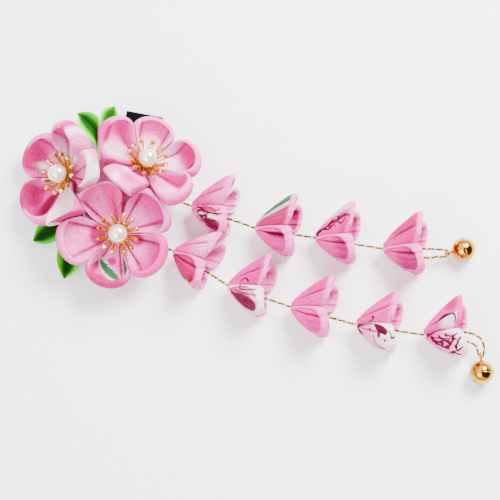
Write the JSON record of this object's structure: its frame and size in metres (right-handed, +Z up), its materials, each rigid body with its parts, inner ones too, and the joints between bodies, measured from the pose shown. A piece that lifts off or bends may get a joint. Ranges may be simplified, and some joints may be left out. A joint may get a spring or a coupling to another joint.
{
  "type": "kanzashi hair clip",
  "caption": "Hair clip with folded cloth blossoms, pearl middles, leaves and two cord strands of hanging blossoms that end in small round bells.",
  "frame": {"origin": "middle of the hair clip's flat underside, on the surface that the ornament lies on", "axes": "+Z up off the surface, away from the hair; +X along the ornament from the blossom cluster towards the ends of the strands; +Y across it, on the side of the upper leaves"},
  "size_m": [0.1997, 0.1193, 0.0363],
  "materials": {
    "black_ribbon": "satin ribbon weave",
    "pad_cloth": "felt",
    "cloth_magenta": "printed crepe",
    "cloth_white_rose": "printed crepe",
    "cloth_pale": "printed crepe",
    "cloth_rose": "printed crepe",
    "cloth_sage_print": "printed crepe",
    "cloth_crimson_lines": "printed crepe",
    "lime_cloth": "crepe",
    "green_cloth": "crepe",
    "gold_wire": "polished",
    "pearl": "pearl coating",
    "gold_cord": "twisted metallic thread",
    "bell_gold": "polished"
  },
  "bodies": {
    "root": {"hair_clip": "black_ribbon", "backing_pad": "pad_cloth", "petal_a1": "cloth_magenta", "petal_a2": "cloth_white_rose", "petal_a3": "cloth_magenta", "petal_a4": "cloth_white_rose", "petal_a5": "cloth_pale", "petal_b1": "cloth_magenta", "petal_b2": "cloth_white_rose", "petal_b3": "cloth_white_rose", "petal_b4": "cloth_white_rose", "petal_b5": "cloth_pale", "petal_c1": "cloth_pale", "petal_c2": "cloth_rose", "petal_c3": "cloth_rose", "petal_c4": "cloth_sage_print", "petal_c5": "cloth_pale", "leaf_1": "lime_cloth", "leaf_2": "lime_cloth", "leaf_3": "green_cloth", "leaf_4": "green_cloth", "stamens_a": "gold_wire", "stamens_b": "gold_wire", "stamens_c": "gold_wire", "pearl_a": "pearl", "pearl_b": "pearl", "pearl_c": "pearl", "strand_upper": "gold_cord", "strand_lower": "gold_cord", "drop_u1": "cloth_crimson_lines", "drop_u2": "cloth_sage_print", "drop_u3": "cloth_crimson_lines", "drop_u4": "cloth_magenta", "drop_d1": "cloth_magenta", "drop_d2": "cloth_crimson_lines", "drop_d3": "cloth_rose", "drop_d4": "cloth_crimson_lines", "drop_d5": "cloth_crimson_lines", "bell_upper": "bell_gold", "bell_lower": "bell_gold"}
  },
  "joints": []
}
